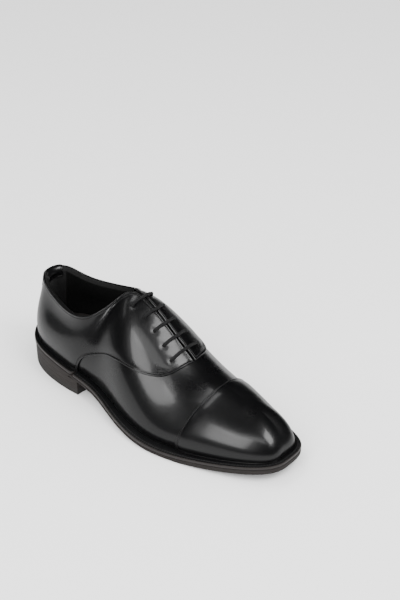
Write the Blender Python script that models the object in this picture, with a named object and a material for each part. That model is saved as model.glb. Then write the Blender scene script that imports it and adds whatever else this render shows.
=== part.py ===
"""A right leather oxford shoe: cap toe, closed lacing, welted leather sole and stacked heel.

Metres, +Z up. The toe points along +X, the outer (lateral) side faces -Y and the inner
(medial) side faces +Y. The origin is below the middle of the sole's outline, on the ground.
Every layer of the upper is a sheet at its own depth below one surface, the shape of the last.
"""

from math import pi, sin

import bmesh
import bpy
import numpy as np
from mathutils import Vector

MM = 0.001

# One section of the last per entry, in mm, from the tip of the toe round to the back of the
# heel. x and the two y values place the sole's edge. The upper starts "inset" inside that
# edge, bulges outward while it climbs "rise", and arrives at the top point from "reach"
# outside it and "drop" below it.
# x, y lateral, y medial, inset, bulge lateral, bulge medial, rise, top x, top y, top z, reach, drop
SECTIONS = (
    (303.0, -4.0, -4.0, 7.4, 1.5, 1.5, 13.3, 259.3, 0.0, 43.8, 19.7, 4.4),
    (298.8, -22.0, 15.1, 6.6, 2.5, 0.2, 12.7, 259.3, 0.0, 43.8, 21.0, 3.0),
    (274.9, -38.9, 30.6, 7.5, 6.0, 0.5, 15.0, 249.0, 0.0, 45.0, 18.5, 0.0),
    (233.0, -54.0, 48.0, 8.8, 7.0, 1.0, 18.5, 226.0, 0.0, 50.0, 24.0, 0.0),
    (190.0, -62.0, 58.0, 8.5, 4.0, 2.5, 19.0, 194.0, 0.0, 60.0, 29.0, 0.5),
    (149.0, -56.0, 49.0, 7.0, 4.0, 4.0, 34.0, 145.0, 0.0, 95.5, 31.5, 4.0),
    (114.0, -46.5, 38.5, 6.5, 6.0, 4.0, 33.0, 116.5, -8.2, 96.0, 15.5, 14.0),
    (81.0, -46.5, 39.5, 6.2, 6.0, 5.0, 30.0, 95.5, -31.5, 78.5, 3.0, 21.0),
    (41.0, -41.0, 36.5, 6.0, 4.5, 4.0, 26.0, 49.5, -24.0, 74.0, 2.8, 22.0),
    (13.2, -24.2, 21.0, 5.0, 3.0, 2.2, 24.0, 23.0, -14.6, 81.5, 3.2, 23.5),
    (1.0, 0.0, 0.0, 5.0, 2.5, 2.5, 25.0, 16.0, 0.0, 83.5, 4.0, 24.0),
)

# Side profile of the bottom, in mm: the welt's top and the outsole's underside along x.
PROFILE_X = (0, 40, 78, 110, 150, 185, 215, 245, 275, 303)
WELT_TOP = (25.0, 25.8, 23.3, 16.8, 10.0, 6.4, 6.2, 8.6, 12.7, 17.0)
SOLE_UNDER = (20.8, 20.4, 17.6, 10.6, 4.0, 0.5, -0.5, 1.6, 5.2, 9.4)

WELT_THICK = 2.6 * MM
GAP = 0.3 * MM  # kept between pieces that touch
LEATHER = 1.2 * MM
LINING = 1.0 * MM
OUTER_DEPTH = -1.3 * MM  # cap and quarters: the outermost layer
UNDER_DEPTH = 1.1 * MM  # vamp, toe puff, counter and facing stays
LINING_DEPTH = 3.5 * MM
FOOT_OF_UPPER = 0.6 * MM  # the upper's lower edge above the welt

BREAST = 0.331  # where the heel's front face meets the outline
WEDGE_END = 0.348  # the top lift is a wedge that stops short of the breast
RAND_END = 0.340
WELT_END = 0.338
LACE_RADIUS = 0.95 * MM
LACE_HOLE_RADIUS = 2.0 * MM
# Five pairs of lace holes from the top down: place round the outline, height up the section.
LACE_HOLES = ((0.260, 0.865), (0.244, 0.87), (0.232, 0.864), (0.221, 0.845), (0.2105, 0.81))
# The front edge of the quarters, from the heel breast up and forward to the throat.
FRONT_EDGE = (
    (0.3385, 0.0), (0.334, 0.10), (0.3285, 0.21), (0.3165, 0.297), (0.293, 0.348), (0.265, 0.403),
    (0.2408, 0.463), (0.2236, 0.537), (0.2115, 0.632), (0.2035, 0.77), (0.199, 1.0),
)
RIDGE_END = 0.264  # the sections meet in the middle of the shoe up to here
CAP_AT_SOLE, CAP_AT_TOP = 0.166, 0.150  # the cap's seam, round the outline

TONGUE_DEPTH = 8.3 * MM  # the tongue's top below the last's surface, which leaves room for the lace
TONGUE_START, TONGUE_LAST = 0.198, 0.257  # its stitched end and its last section, round the outline
TONGUE_SPREAD = 0.28  # how far its edges reach down the sections
TONGUE_TAIL = 19 * MM  # how far it goes on, past the last section


def cubic(knots, values):
    """A natural cubic spline through the values, as a function of the knots' coordinate."""
    x, y = np.asarray(knots, float), np.asarray(values, float)
    n, h = len(x), np.diff(x)
    matrix, right = np.eye(n), np.zeros_like(y)
    for i in range(1, n - 1):
        matrix[i, i - 1 : i + 2] = h[i - 1], 2 * (h[i - 1] + h[i]), h[i]
        right[i] = 6 * ((y[i + 1] - y[i]) / h[i] - (y[i] - y[i - 1]) / h[i - 1])
    bend = np.linalg.solve(matrix, right)

    def value(at):
        at = np.asarray(at, float)
        i = np.clip(np.searchsorted(x, at) - 1, 0, n - 2)
        step, t = h[i], at - x[i]
        if y.ndim > 1:
            step, t = step[..., None], t[..., None]
        third = (bend[i + 1] - bend[i]) / (6 * step)
        first = (y[i + 1] - y[i]) / step - step * (2 * bend[i] + bend[i + 1]) / 6
        return ((third * t + bend[i] / 2) * t + first) * t + y[i]

    return value


def closed_curve(rows):
    """A spline through rows of values that run round a ring, as a function of 0 to 1."""
    rows = np.asarray(rows, float)
    wrap = np.arange(-4, len(rows) + 5)
    spline = cubic(wrap, rows[wrap % len(rows)])
    return lambda s: spline((np.asarray(s, float) % 1.0) * len(rows))


def section_rows():
    """The sections down the lateral side and back up the medial side, one row each."""
    rows = []
    for k in (*range(11), *range(9, 0, -1)):
        x, lateral, medial, inset, bulge_out, bulge_in, rise, tx, ty, tz, reach, drop = SECTIONS[k]
        on_lateral = len(rows) < 11
        y, bulge = (lateral, bulge_out) if on_lateral else (medial, bulge_in)
        rows.append((x, y, inset, bulge, rise, tx, ty if on_lateral else -ty, tz, reach, drop))
    return np.array(rows) * MM


ring = closed_curve(section_rows())
welt_curve = cubic(np.array(PROFILE_X) * MM, np.array(WELT_TOP) * MM)
under_curve = cubic(np.array(PROFILE_X) * MM, np.array(SOLE_UNDER) * MM)
front_curve = cubic(np.linspace(0, 1, len(FRONT_EDGE)), FRONT_EDGE)
OUTLINE = ring(np.linspace(0, 1, 721))[:, :2]
CENTRE = np.append((OUTLINE.min(0) + OUTLINE.max(0)) / 2, 0)


def sole_under(x):
    """The underside of the outsole: flat on the ground under the ball of the foot."""
    return np.maximum(under_curve(x), 0)


def outward(s):
    """The horizontal direction out of the outline, square to it."""
    along = ring(s + 1e-3)[..., :2] - ring(s - 1e-3)[..., :2]
    along /= np.linalg.norm(along, axis=-1, keepdims=True)
    return np.stack([-along[..., 1], along[..., 0]], -1)


def edge_point(s, inset):
    """A point inside the sole's outline by inset."""
    return ring(s)[..., :2] - outward(s) * np.asarray(inset)[..., None]


def last_point(s, t):
    """The last's surface: each section is one Bezier curve from the welt (t=0) to its top (t=1)."""
    row, out = ring(s), outward(s)
    foot_xy = row[..., :2] - out * row[..., 2:3]
    foot = np.concatenate([foot_xy, (welt_curve(foot_xy[..., 0]) + FOOT_OF_UPPER)[..., None]], -1)
    side, top = foot.copy(), row[..., 5:8]
    side[..., :2] += out * row[..., 3:4]
    side[..., 2] += row[..., 4]
    shoulder = top.copy()
    shoulder[..., :2] += out * row[..., 8:9]
    shoulder[..., 2] -= row[..., 9]
    t = t[..., None]
    return (1 - t) ** 3 * foot + 3 * t * (1 - t) ** 2 * side + 3 * t * t * (1 - t) * shoulder + t**3 * top


def last_normal(s, t):
    """The outward normal. On the forefoot's ridge both sides share one, with no sideways part."""
    low, high, near = np.clip(t - 2e-3, 0, 1), np.clip(t + 2e-3, 0, 1), np.minimum(t, 0.985)
    up = last_point(s, high) - last_point(s, low)
    around = last_point(s + 1e-3, near) - last_point(s - 1e-3, near)
    normal = np.cross(up, around)
    on_ridge = (t > 0.995) & (np.minimum(s % 1, 1 - s % 1) < RIDGE_END)
    normal[..., 1] = np.where(on_ridge, 0, normal[..., 1])
    return normal / np.linalg.norm(normal, axis=-1, keepdims=True)


def below(s, t, depth):
    """A point at a depth under the last's surface, in the shoe's own frame."""
    s, t, depth = np.broadcast_arrays(np.asarray(s, float), np.asarray(t, float), depth)
    return last_point(s, t) - last_normal(s, t) * depth[..., None] - CENTRE


def front_edge_height(s):
    """Where the quarters' front edge crosses a section, as a height up it."""
    edge = front_curve(np.linspace(0, 1, 200))
    return np.interp(s, edge[::-1, 0], edge[::-1, 1])


def front_edge_place(t):
    """Where the quarters' front edge is at a height, as a place round the outline."""
    edge = front_curve(np.linspace(0, 1, 200))
    return np.interp(t, edge[:, 1], edge[:, 0])


def cap_edge(t):
    return CAP_AT_SOLE + (CAP_AT_TOP - CAP_AT_SOLE) * t**3


def material(name, color, roughness, metallic=0.0):
    found = bpy.data.materials.new(name)
    found.use_nodes = True
    shader = found.node_tree.nodes["Principled BSDF"]
    shader.inputs["Base Color"].default_value = (*color, 1)
    shader.inputs["Roughness"].default_value = roughness
    shader.inputs["Metallic"].default_value = metallic
    return found


def add_mesh(name, points, faces, look, parent, pivot=(0, 0, 0)):
    """An object from points in the shoe's frame, with its own origin at pivot."""
    mesh = bpy.data.meshes.new(name)
    mesh.from_pydata([Vector(p) - Vector(pivot) for p in points], [], faces)
    work = bmesh.new()
    work.from_mesh(mesh)
    bmesh.ops.remove_doubles(work, verts=work.verts, dist=1e-6)
    bmesh.ops.dissolve_degenerate(work, edges=work.edges, dist=1e-7)
    work.to_mesh(mesh)
    work.free()
    mesh.shade_smooth()
    mesh.set_sharp_from_angle(angle=0.7)
    mesh.materials.append(look)
    piece = bpy.data.objects.new(name, mesh)
    piece.location = pivot
    piece.parent = parent
    bpy.context.collection.objects.link(piece)
    return piece


def grid_faces(rows, columns):
    return [
        (i * columns + j, i * columns + j + 1, (i + 1) * columns + j + 1, (i + 1) * columns + j)
        for i in range(rows - 1)
        for j in range(columns - 1)
    ]


def recalculate(piece):
    work = bmesh.new()
    work.from_mesh(piece.data)
    bmesh.ops.recalc_face_normals(work, faces=work.faces)
    work.to_mesh(piece.data)
    work.free()


def add_shell(name, outer, inner, look, parent, pivot=(0, 0, 0), folded=False):
    """A closed skin between two grids of points, with a rim round their edges.

    The first row of a folded skin lies double, so it has no rim there.
    """
    rows, columns = outer.shape[:2]
    count = rows * columns
    faces = grid_faces(rows, columns)
    faces += [tuple(count + i for i in face[::-1]) for face in faces]
    rim = list(range(columns)) + [i * columns + columns - 1 for i in range(1, rows)]
    rim += list(range(count - 2, count - columns - 1, -1)) + [i * columns for i in range(rows - 2, 0, -1)]
    sides = list(zip(rim, rim[1:] + rim[:1]))[columns - 1 if folded else 0 :]
    faces += [(b, a, count + a, count + b) for a, b in sides]
    points = np.concatenate([outer.reshape(-1, 3), inner.reshape(-1, 3)])
    piece = add_mesh(name, points, faces, look, parent, pivot)
    recalculate(piece)
    return piece


def hoop_sheet(name, first, last, depth, thickness, rows, heights, look, parent):
    """A sheet that goes over the forefoot from side to side.

    first(t) and last(t) give its front and back edges, as places round the outline.
    """
    u = np.concatenate([heights, heights[-2::-1]])
    side = np.array([1] * len(heights) + [-1] * (len(heights) - 1))
    share = np.linspace(0, 1, rows + 1)[:, None]
    s = (first(u) * (1 - share) + last(u) * share) * side
    folded = abs(s[0]).max() == 0
    return add_shell(name, below(s, u, depth), below(s, u, depth + thickness), look, parent, folded=folded)


def side_sheet(name, places, foot, top, depth, thickness, rows, side, look, parent):
    """A sheet on one side of the shoe between two heights; side is 1 lateral, -1 medial."""
    share = np.linspace(0, 1, rows + 1)[:, None]
    t = foot(places) * (1 - share) + top(places) * share
    s = np.broadcast_to(places * side, t.shape)
    return add_shell(name, below(s, t, depth), below(s, t, depth + thickness), look, parent)


def plate(name, first, last, inset, top, under, rows, look, parent, across=4):
    """A flat layer of the bottom between two places round the outline.

    inset is a function of the place, top and under are functions of x.
    """
    share = np.linspace(0, 1, rows + 1)
    s = (first + (last - first) * share)[:, None]
    v = np.linspace(0, 1, across + 1)[None, :, None]
    layers = []
    for height in (top, under):
        left, right = edge_point(s, inset(s)), edge_point(-s, inset(-s))
        xy = left * (1 - v) + right * v
        layers.append(np.concatenate([xy, height(xy[..., 0])[..., None]], -1).reshape(-1, 3) - CENTRE)
    count, width = len(layers[0]), across + 1
    sheet = grid_faces(rows + 1, width)
    faces = sheet + [tuple(count + i for i in face[::-1]) for face in sheet]
    rim = [i * width for i in range(rows + 1)] + [rows * width + j for j in range(1, width)]
    rim += [i * width + across for i in range(rows - 1, -1, -1)] + list(range(across - 1, 0, -1))
    faces += [(a, b, count + b, count + a) for a, b in zip(rim, rim[1:] + rim[:1])]
    piece = add_mesh(name, np.concatenate(layers), faces, look, parent)
    recalculate(piece)
    return piece


def edge_strip(name, first, last, steps, corners, look, parent):
    """A strip that follows the sole's edge; corners(s) gives its section as inset and z pairs."""
    s = np.linspace(first, last, steps + 1)
    loop = []
    for inset, height in corners(s):
        xy = edge_point(s, inset)
        loop.append(np.concatenate([xy, height(xy[:, 0])[:, None]], -1) - CENTRE)
    points = np.stack(loop, 1)
    n = points.shape[1]
    faces = [
        (i * n + j, i * n + (j + 1) % n, (i + 1) * n + (j + 1) % n, (i + 1) * n + j)
        for i in range(steps)
        for j in range(n)
    ]
    faces += [tuple(range(n - 1, -1, -1)), tuple(steps * n + j for j in range(n))]
    piece = add_mesh(name, points.reshape(-1, 3), faces, look, parent)
    recalculate(piece)
    return piece


def cut(piece, cutter):
    hole = piece.modifiers.new("lace holes", "BOOLEAN")
    hole.operation = "DIFFERENCE"
    hole.object = cutter


def hole_cutter(name, side, parent):
    """Five short rods through the facing, square to it."""
    work = bmesh.new()
    for s, t in LACE_HOLES:
        place = Vector(below(s * side, t, 1.5 * MM))
        way = Vector(last_normal(np.array(s * side), np.array(t)))
        turn = way.to_track_quat("Z", "Y").to_matrix().to_4x4()
        turn.translation = place
        bmesh.ops.create_cone(
            work, cap_ends=True, segments=8, radius1=LACE_HOLE_RADIUS, radius2=LACE_HOLE_RADIUS,
            depth=10 * MM, matrix=turn,
        )
    mesh = bpy.data.meshes.new(name)
    work.to_mesh(mesh)
    work.free()
    cutter = bpy.data.objects.new(name, mesh)
    cutter.parent = parent
    cutter.hide_render = True
    cutter.display_type = "WIRE"
    bpy.context.collection.objects.link(cutter)
    return cutter


def build_upper(looks, parent):
    leather, lining = looks["upper"], looks["lining"]
    even = np.linspace(0, 1, 13)
    close = np.array((0, 0.1, 0.2, 0.28, 0.34, 0.38, 0.415, 0.45, 0.49, 0.54, 0.6, 0.67, 0.75, 0.83, 0.91, 1))
    tip = lambda t: 0 * t
    under_cap = lambda t: cap_edge(t) - 0.012
    under_quarter = lambda t: front_edge_place(np.maximum(t - 0.04, 0)) + 0.006
    lining_seam = lambda t: 0.250 - 0.045 * t**2
    hoop_sheet("toe_cap", tip, cap_edge, OUTER_DEPTH, LEATHER, 12, even, leather, parent)
    puff_edge = lambda t: under_cap(t) - 0.004
    hoop_sheet("toe_puff", tip, puff_edge, UNDER_DEPTH, LEATHER, 11, even, looks["puff"], parent)
    vamp = hoop_sheet("vamp", under_cap, under_quarter, UNDER_DEPTH, LEATHER, 15, close, leather, parent)
    vamp_lining = hoop_sheet("vamp_lining", tip, lining_seam, LINING_DEPTH, LINING, 16, even, lining, parent)

    edge = front_curve(np.linspace(0.012, 0.985, 22))[::-1, 0]
    quarter = np.concatenate([edge, np.linspace(0.3405, 0.4988, 17)])
    facing = np.linspace(0.232, 0.287, 7)
    inside = np.concatenate([np.linspace(0.2125, 0.29, 10), np.linspace(0.302, 0.4535, 11)])
    low = lambda s: front_edge_height(s) * (s < 0.3388)

    def topline(s):
        return 1 - 0.0105 * np.clip((0.274 - s) / 0.012, 0, 1)

    for side, hand in ((1, "lateral"), (-1, "medial")):
        cutter = hole_cutter("lace_hole_cutter_" + hand, side, parent)
        pieces = (
            side_sheet("quarter_" + hand, quarter, low, topline, OUTER_DEPTH, LEATHER, 10, side, leather, parent),
            side_sheet(
                "facing_stay_" + hand, facing, lambda s: 0.76 + 0.6 * (0.262 - s), lambda s: topline(s) - 0.01,
                UNDER_DEPTH, LEATHER * 0.8, 3, side, looks["stay"], parent,
            ),
            side_sheet(
                "quarter_lining_" + hand, inside, lambda s: np.sqrt(np.clip((0.2525 - s) / 0.045, 0, 1)) * 0.985,
                lambda s: topline(s) - 0.006, LINING_DEPTH, LINING, 10, side, lining, parent,
            ),
        )
        for piece in (*pieces, vamp, vamp_lining):
            cut(piece, cutter)

    back = np.linspace(0.378, 0.622, 23)
    dome = lambda s: 0.36 + 0.26 * np.clip(1 - (np.abs(s - 0.5) / 0.122) ** 2, 0, 1)
    side_sheet("heel_counter", back, lambda s: 0 * s, dome, UNDER_DEPTH, LEATHER, 5, 1, looks["puff"], parent)
    grip = np.linspace(0.456, 0.544, 11)
    side_sheet("heel_grip", grip, lambda s: 0 * s, lambda s: 0 * s + 0.972, LINING_DEPTH, LINING, 8, 1,
               looks["grip"], parent)
    build_heel_tab(leather, parent)


def build_heel_tab(look, parent):
    """The strip folded over the back of the topline, outside and inside."""
    s = np.linspace(0.466, 0.534, 9)
    path = ((0.80, -2.7, 0), (0.90, -2.7, 0), (1.0, -2.7, 0), (1.0, -1.5, 1.7), (1.0, 4.0, 1.7), (1.0, 5.9, 0),
            (0.95, 5.9, 0), (0.88, 5.9, 0))
    skins = []
    for thinner in (0, 0.8):
        rows = []
        for height, depth, lift in path:
            row = below(s, height, (depth + thinner * (1 if depth < 1 else -1)) * MM)
            row[:, 2] += (lift - thinner * (lift > 0)) * MM
            rows.append(row)
        skins.append(np.array(rows))
    add_shell("heel_tab", *skins, look, parent)


def tongue_rows(depth):
    """The tongue's surface, from its stitched end up to its free end."""
    rows = []
    for s in np.linspace(TONGUE_START, TONGUE_LAST, 10):
        row = []
        for b in np.linspace(-1, 1, 9):
            near = below(s, 1 - TONGUE_SPREAD * abs(b), depth)
            far = below(-s, 1 - TONGUE_SPREAD * abs(b), depth)
            row.append(near if b <= 0 else far)
        rows.append(np.array(row))
    droop = (np.linspace(-1, 1, 9) ** 2)[:, None] * np.array([0, 0, -4.5 * MM])
    for share in (1 / 3, 2 / 3, 1):
        rows.append(rows[9] + np.array([-1, 0, 0.07]) * TONGUE_TAIL * share + droop * share)
    return np.array(rows)


def build_tongue(looks, parent):
    """Two layers that follow the throat under the lace, stitched to the vamp at the hinge line."""
    pivot = tongue_rows(TONGUE_DEPTH)[0, 4]
    for name, extra, thickness, look in (
        ("tongue", 0.0, 1.2 * MM, looks["upper"]),
        ("tongue_lining", 1.9 * MM, 0.8 * MM, looks["lining"]),
    ):
        depth = TONGUE_DEPTH + extra
        add_shell(name, tongue_rows(depth), tongue_rows(depth + thickness), look, parent, pivot)


def lace_route():
    """Straight lacing: five bars on top, the runs between them hidden under the facings."""
    over, beside = -2.9 * MM, LINING_DEPTH + LINING + LACE_RADIUS + 1.2 * MM

    def at(row, side, depth, inward=0.0):
        s, t = LACE_HOLES[row]
        return below(s * side, t + inward, depth)

    def down(row, side):
        steps = ((over, 0.012), (-1.0 * MM, 0), (1.4 * MM, 0), (beside - 1.4 * MM, 0))
        return [at(row, side, depth, inward) for depth, inward in steps]

    def up(row, side):
        return down(row, side)[::-1]

    def bar(row, side):
        """From above the hole on one side, over the ridge, to the other side."""
        s, t = LACE_HOLES[row]
        half = [below(s * side, t + (1 - t) * f, over - 0.1 * MM) for f in (0.25, 0.6)]
        other = [below(-s * side, t + (1 - t) * f, over - 0.1 * MM) for f in (0.6, 0.25)]
        return half + [below(s, 1.0, over)] + other

    def run(low, high, side, out):
        """Under the facing from one row of holes to a higher one, bowed outward by out."""
        s0, t0 = LACE_HOLES[low]
        s1, t1 = LACE_HOLES[high]
        steps = (0.22, 0.5, 0.78) if low - high == 1 else (0.12, 0.3, 0.5, 0.7, 0.88)
        return [
            below((s0 + (s1 - s0) * f) * side, t0 + (t1 - t0) * f - out * sin(pi * f) ** 0.5, beside)
            for f in steps
        ]

    def tail(side, places):
        """The end of the lace, tucked down beside the tongue and forward along the lining."""
        return [below(s * side, t, beside + 0.3 * MM) for s, t in places]

    first = down(4, 1) + run(4, 3, 1, 0.0) + up(3, 1) + bar(3, 1)
    first += down(3, -1) + run(3, 1, -1, 0.05) + up(1, -1) + bar(1, -1) + down(1, 1)
    first += tail(1, ((0.247, 0.82), (0.250, 0.74), (0.248, 0.63), (0.238, 0.53), (0.222, 0.46), (0.204, 0.43),
                      (0.186, 0.42), (0.168, 0.42), (0.150, 0.43)))
    second = down(4, -1) + run(4, 2, -1, 0.0) + up(2, -1) + bar(2, -1)
    second += down(2, 1) + run(2, 0, 1, 0.05) + up(0, 1) + bar(0, 1) + down(0, -1)
    second += tail(-1, ((0.263, 0.81), (0.267, 0.72), (0.263, 0.61), (0.250, 0.51), (0.233, 0.45), (0.214, 0.42),
                        (0.196, 0.41), (0.178, 0.41), (0.160, 0.42)))
    points = np.array(first[::-1] + bar(4, 1) + second)
    step = np.linalg.norm(np.diff(points, axis=0), axis=1)
    return cubic(np.concatenate([[0], np.cumsum(step)]), points), step.sum()


def tube(name, points, radius, look, parent, resolution=2):
    curve = bpy.data.curves.new(name, "CURVE")
    curve.dimensions = "3D"
    curve.bevel_depth = radius
    curve.bevel_resolution = resolution
    curve.use_fill_caps = True
    spline = curve.splines.new("POLY")
    spline.points.add(len(points) - 1)
    for point, place in zip(spline.points, points):
        point.co = (*place, 1)
    curve.materials.append(look)
    piece = bpy.data.objects.new(name, curve)
    piece.parent = parent
    bpy.context.collection.objects.link(piece)
    return piece


def build_lace(looks, parent):
    route, length = lace_route()
    aglet, gap, wide = 14 * MM, 0.4 * MM, LACE_RADIUS * 1.1
    between = np.linspace(aglet + gap, length - aglet - gap, 140)
    tube("shoelace", route(between), LACE_RADIUS, looks["lace"], parent)
    tube("aglet_lateral", route(np.linspace(0, aglet, 5)), wide, looks["aglet"], parent)
    tube("aglet_medial", route(np.linspace(length - aglet, length, 5)), wide, looks["aglet"], parent)


def build_bottom(looks, parent):
    welt_top = welt_curve
    welt_under = lambda x: welt_curve(x) - WELT_THICK
    sole_top = lambda x: welt_curve(x) - WELT_THICK - GAP
    inside_foot = lambda extra: lambda s: ring(s)[..., 2] + extra * MM
    level = lambda inset: lambda s: 0 * s + inset * MM
    flat = lambda height: lambda x: 0 * x + height

    def band(inner):
        return lambda s: (
            (0 * s, welt_under), (0 * s, welt_top), (ring(s)[:, 2] + inner, welt_top),
            (ring(s)[:, 2] + inner, welt_under),
        )

    edge_strip("welt", -WELT_END, WELT_END, 72, band(2.5 * MM), looks["welt"], parent)
    edge_strip("heel_seat_rand", RAND_END, 1 - RAND_END, 30, band(2.5 * MM), looks["welt"], parent)

    def rib(s):
        far, near = ring(s)[:, 2] + 3.2 * MM, ring(s)[:, 2] + 5.2 * MM
        low, high = (lambda x: welt_curve(x) - 2.3 * MM), (lambda x: welt_curve(x) + 0.1 * MM)
        return (far, low), (far, high), (near, high), (near, low)

    edge_strip("rib_strip", -WELT_END, WELT_END, 60, rib, looks["canvas"], parent)
    plate("outsole", 0, 0.5, level(0), sole_top, sole_under, 36, looks["edge"], parent, 6)
    plate("insole", 0, 0.5, inside_foot(5.6), lambda x: welt_curve(x) + 2.9 * MM,
          lambda x: welt_curve(x) + 0.4 * MM, 24, looks["insole"], parent)
    plate("sock_liner", 0, 0.5, inside_foot(6.4), lambda x: welt_curve(x) + 4.2 * MM,
          lambda x: welt_curve(x) + 3.2 * MM, 24, looks["sock"], parent)
    plate("cork_filler", 0, 0.236, inside_foot(8.0), lambda x: welt_curve(x) + 0.1 * MM,
          lambda x: welt_curve(x) - 2.5 * MM, 14, looks["cork"], parent)

    heel_front = BREAST + 0.001
    lift_top = lambda height: lambda x: np.minimum(height, sole_under(x) - GAP)
    layers = (
        ("top_piece", heel_front, 0.0, 5.5, "rubber"), ("heel_lift_1", heel_front, 5.8, 10.3, "edge"),
        ("heel_lift_2", heel_front, 10.6, 15.0, "edge"), ("heel_lift_3", WEDGE_END, 15.3, 30.0, "edge"),
    )
    lifts = [
        plate(name, front, 0.5, level(0.6), lift_top(high * MM), flat(low * MM), 14, looks[look], parent)
        for name, front, low, high, look in layers
    ]
    build_shank(looks["steel"], parent)
    build_nails(lifts[1:], looks["steel"], parent)


def build_shank(look, parent):
    """The steel strip that stiffens the waist, between the insole and the outsole."""
    x = np.linspace(60, 146, 10) * MM
    points = []
    for place in x:
        half = 6 * MM * (1 - 0.35 * ((place / MM - 103) / 43) ** 2)
        for y, lift in ((-half, -2.2), (half, -2.2), (half, -0.6), (-half, -0.6)):
            points.append((place - CENTRE[0], y - 1.5 * MM, float(welt_curve(place)) + lift * MM))
    n = len(x)
    faces = [
        (i * 4 + j, i * 4 + (j + 1) % 4, (i + 1) * 4 + (j + 1) % 4, (i + 1) * 4 + j)
        for i in range(n - 1)
        for j in range(4)
    ]
    faces += [(3, 2, 1, 0), tuple((n - 1) * 4 + j for j in range(4))]
    recalculate(add_mesh("shank", points, faces, look, parent))


def build_nails(lifts, look, parent):
    """Four nails that hold the stacked lifts together, each in its own drilled hole."""
    places = ((22, -12), (22, 10), (52, -22), (52, 18))
    cutter = bpy.data.meshes.new("nail_hole_cutter")
    work = bmesh.new()
    for i, (x, y) in enumerate(places):
        place = Vector((x * MM - CENTRE[0], y * MM - CENTRE[1], 12.2 * MM))
        lower = bmesh.new()
        rod = {"cap_ends": True, "segments": 10}
        bmesh.ops.create_cone(lower, radius1=0.9 * MM, radius2=0.9 * MM, depth=12 * MM, **rod)
        mesh = bpy.data.meshes.new("heel_nail_%d" % (i + 1))
        lower.to_mesh(mesh)
        lower.free()
        mesh.materials.append(look)
        nail = bpy.data.objects.new(mesh.name, mesh)
        nail.location = place
        nail.parent = parent
        bpy.context.collection.objects.link(nail)
        made = bmesh.ops.create_cone(work, radius1=1.3 * MM, radius2=1.3 * MM, depth=12.8 * MM, **rod)
        bmesh.ops.translate(work, verts=made["verts"], vec=place)
    work.to_mesh(cutter)
    work.free()
    drill = bpy.data.objects.new("nail_hole_cutter", cutter)
    drill.parent = parent
    drill.hide_render = True
    drill.display_type = "WIRE"
    bpy.context.collection.objects.link(drill)
    for lift in lifts:
        cut(lift, drill)


def main():
    for old in list(bpy.data.objects):
        bpy.data.objects.remove(old)
    looks = {
        "upper": material("black_leather", (0.012, 0.012, 0.013), 0.18),
        "lining": material("black_lining", (0.02, 0.02, 0.02), 0.6),
        "grip": material("suede_grip", (0.03, 0.03, 0.032), 0.95),
        "puff": material("stiffener_board", (0.35, 0.26, 0.17), 0.8),
        "stay": material("stay_tape", (0.5, 0.47, 0.4), 0.9),
        "insole": material("insole_leather", (0.42, 0.28, 0.17), 0.7),
        "sock": material("sock_leather", (0.055, 0.05, 0.045), 0.5),
        "canvas": material("rib_canvas", (0.6, 0.56, 0.46), 0.9),
        "cork": material("cork", (0.36, 0.22, 0.12), 0.95),
        "welt": material("welt_leather", (0.012, 0.012, 0.012), 0.45),
        "edge": material("sole_leather", (0.06, 0.05, 0.046), 0.5),
        "rubber": material("top_piece_rubber", (0.015, 0.015, 0.015), 0.8),
        "lace": material("waxed_cord", (0.012, 0.012, 0.012), 0.7),
        "aglet": material("aglet_plastic", (0.02, 0.02, 0.02), 0.3),
        "steel": material("steel", (0.45, 0.45, 0.46), 0.35, 1.0),
    }
    shoe = bpy.data.objects.new("shoe", None)
    bpy.context.collection.objects.link(shoe)
    build_upper(looks, shoe)
    build_tongue(looks, shoe)
    build_lace(looks, shoe)
    build_bottom(looks, shoe)


main()
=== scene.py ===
# An oxford shoe in black leather: cap toe, closed lacing, welted leather sole and a stacked heel.
from math import cos, pi, radians, sin

import bmesh
import bpy
import numpy as np
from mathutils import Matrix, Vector


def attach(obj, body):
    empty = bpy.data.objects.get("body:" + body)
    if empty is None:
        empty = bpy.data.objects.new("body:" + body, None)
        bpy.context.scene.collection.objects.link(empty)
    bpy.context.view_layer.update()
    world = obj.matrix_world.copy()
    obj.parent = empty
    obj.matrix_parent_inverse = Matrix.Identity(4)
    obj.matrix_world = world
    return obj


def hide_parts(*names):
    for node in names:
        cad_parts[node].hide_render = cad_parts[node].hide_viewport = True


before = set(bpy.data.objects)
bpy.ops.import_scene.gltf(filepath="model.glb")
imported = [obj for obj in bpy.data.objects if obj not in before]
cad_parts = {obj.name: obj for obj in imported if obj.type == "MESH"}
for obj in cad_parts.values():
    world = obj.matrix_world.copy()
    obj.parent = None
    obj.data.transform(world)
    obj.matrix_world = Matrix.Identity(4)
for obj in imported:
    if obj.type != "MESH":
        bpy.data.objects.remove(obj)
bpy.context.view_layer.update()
mm = 0.001
print("frame loaded with", len(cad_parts), "pieces")

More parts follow.
